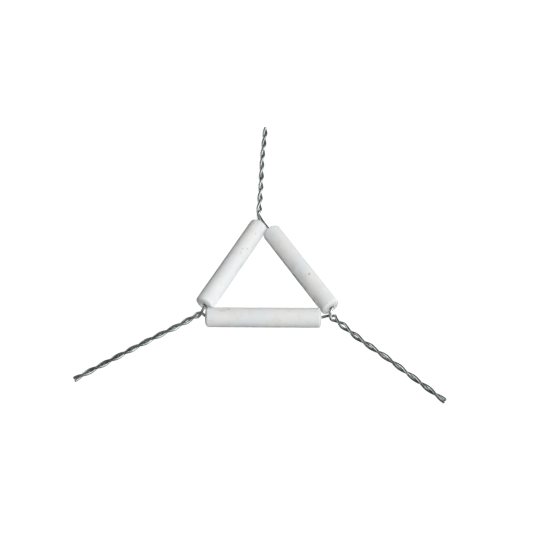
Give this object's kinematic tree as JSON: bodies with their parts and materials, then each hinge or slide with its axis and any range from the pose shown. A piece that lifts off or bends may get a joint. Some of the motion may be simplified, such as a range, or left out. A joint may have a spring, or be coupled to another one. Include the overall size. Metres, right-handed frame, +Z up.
{
  "type": "pipe clay triangle",
  "caption": "Triangular crucible support: clay tubes threaded on bent wires, whose ends are twisted together into a straight tail at each corner.",
  "frame": {"origin": "centre of the triangular opening (the point equally far from the axes of the tubes), on the plane that the triangle lies on", "axes": "+Z upwards, square to the plane of the triangle; +X along the front tube, from its free end to the end that stops at the right tube; +Y from the front tube towards the far corner"},
  "size_m": [0.1853, 0.1816, 0.0104],
  "materials": {
    "clay": "unglazed matte pipe clay",
    "zinc_wire": "galvanised wire, satin"
  },
  "bodies": {
    "wire_frame": {"wire_front": "zinc_wire", "wire_right": "zinc_wire", "wire_left": "zinc_wire"},
    "front_tube": {"tube_front": "clay"},
    "right_tube": {"tube_right": "clay"},
    "left_tube": {"tube_left": "clay"}
  },
  "joints": [
    {"name": "front_tube_spin", "type": "hinge", "parent": "wire_frame", "child": "front_tube", "pos_m": [0, -0.02124, 0.0052], "axis": [1, 0, 0], "continuous": true},
    {"name": "right_tube_spin", "type": "hinge", "parent": "wire_frame", "child": "right_tube", "pos_m": [0.01785, 0.0115, 0.0052], "axis": [-0.5417, 0.8406, 0], "continuous": true},
    {"name": "left_tube_spin", "type": "hinge", "parent": "wire_frame", "child": "left_tube", "pos_m": [-0.01879, 0.00991, 0.0052], "axis": [-0.4664, -0.8846, 0], "continuous": true}
  ]
}
